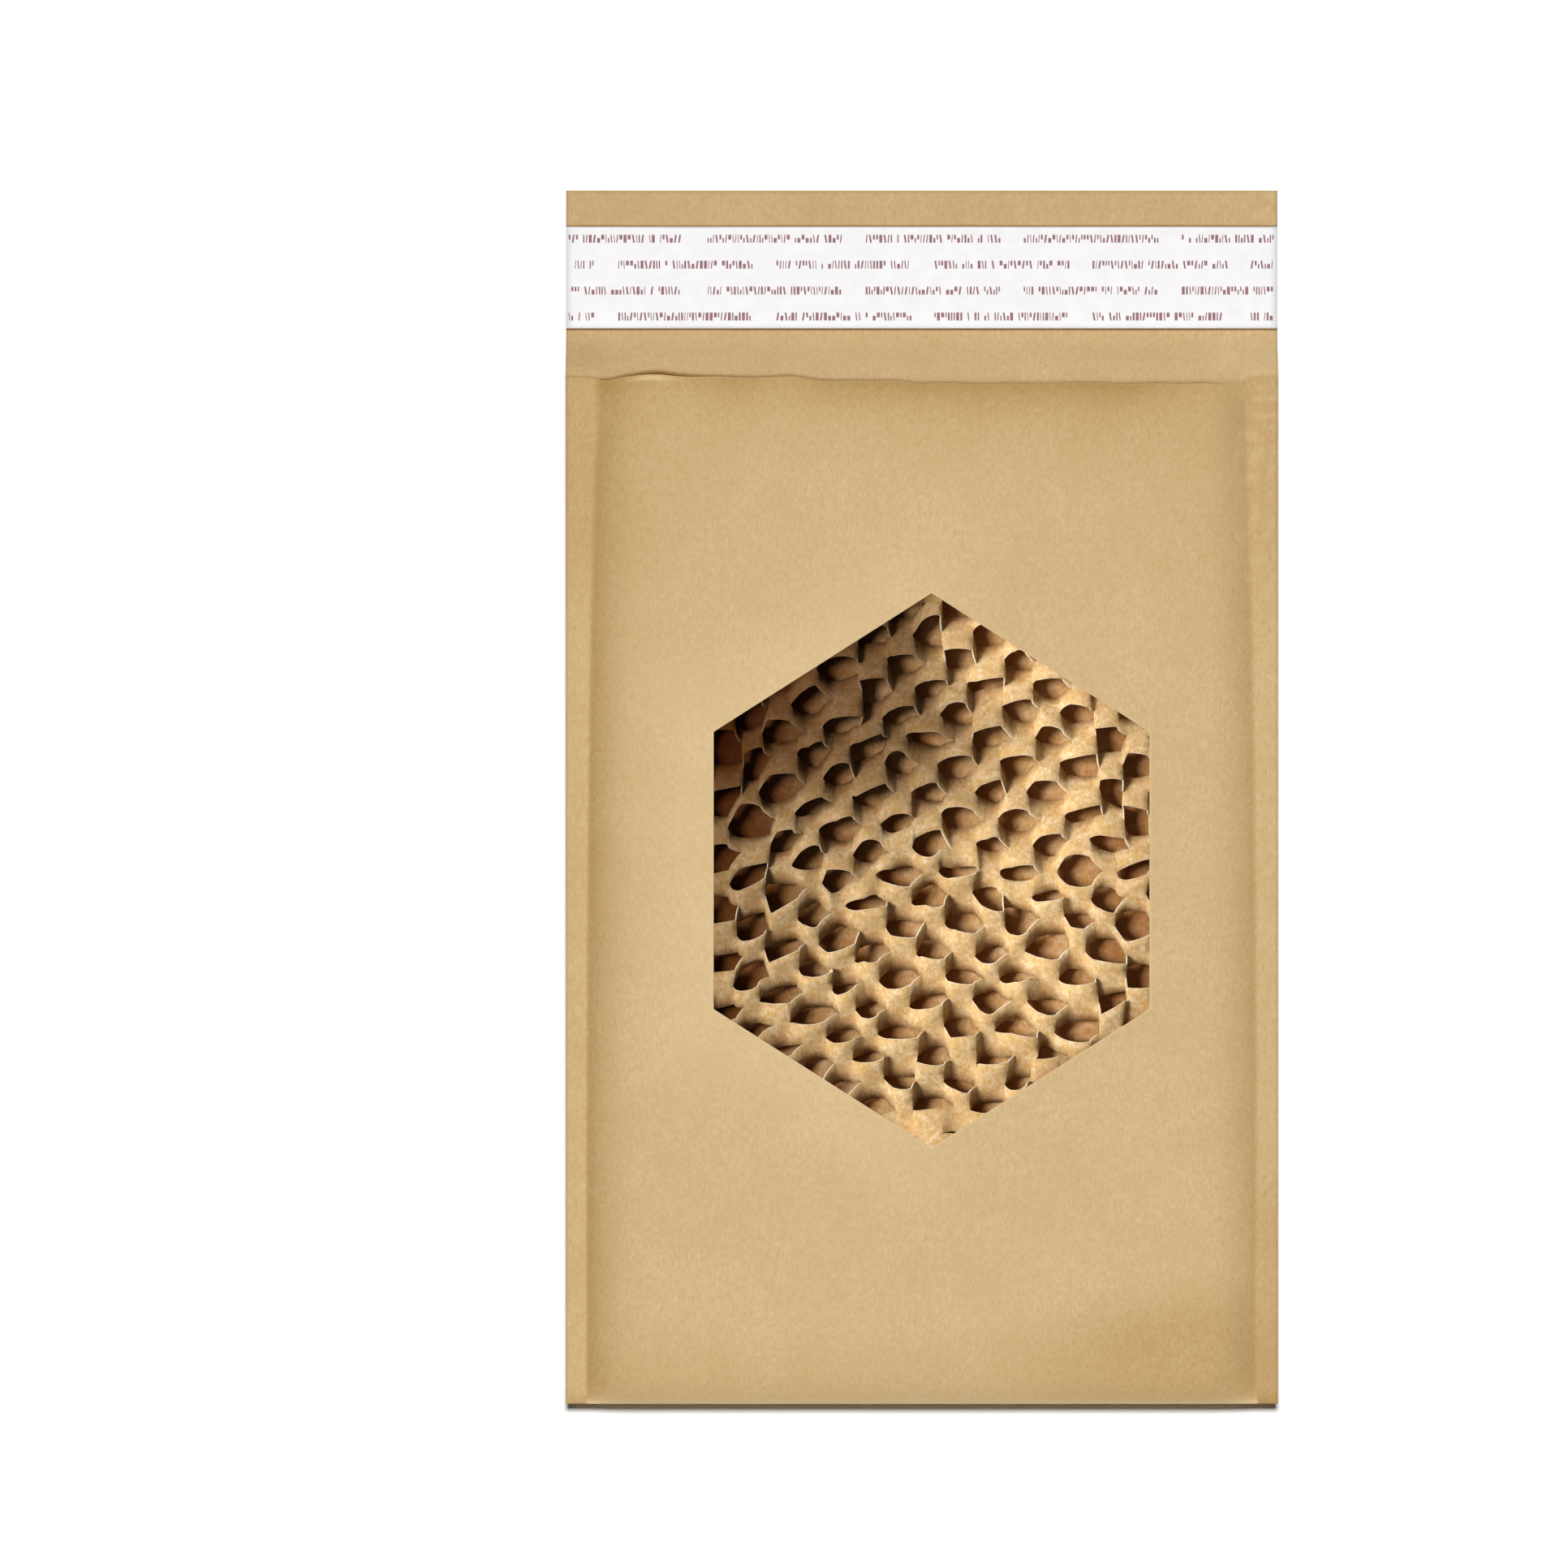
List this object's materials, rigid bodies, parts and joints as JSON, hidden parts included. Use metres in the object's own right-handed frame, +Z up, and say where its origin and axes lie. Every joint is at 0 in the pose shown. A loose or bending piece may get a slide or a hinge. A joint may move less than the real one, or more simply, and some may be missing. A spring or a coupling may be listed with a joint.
{
  "type": "padded envelope",
  "caption": "Padded kraft paper envelope with a honeycomb paper lining, lying on its back with the flap open, a white release liner on the flap and a hexagonal window in the front.",
  "frame": {"origin": "middle of the footprint, on the surface the envelope lies on", "axes": "+X across the side seams, +Y from the bottom fold to the flap's edge, +Z up out of the front panel"},
  "size_m": [0.18, 0.3066, 0.012],
  "materials": {
    "kraft": "matte",
    "honeycomb_kraft": "matte",
    "adhesive": "glossy",
    "release_paper": "satin"
  },
  "bodies": {
    "root": {"outer_sleeve": "kraft", "honeycomb_lining": "honeycomb_kraft", "adhesive_strip": "adhesive", "release_liner": "release_paper"}
  },
  "joints": []
}
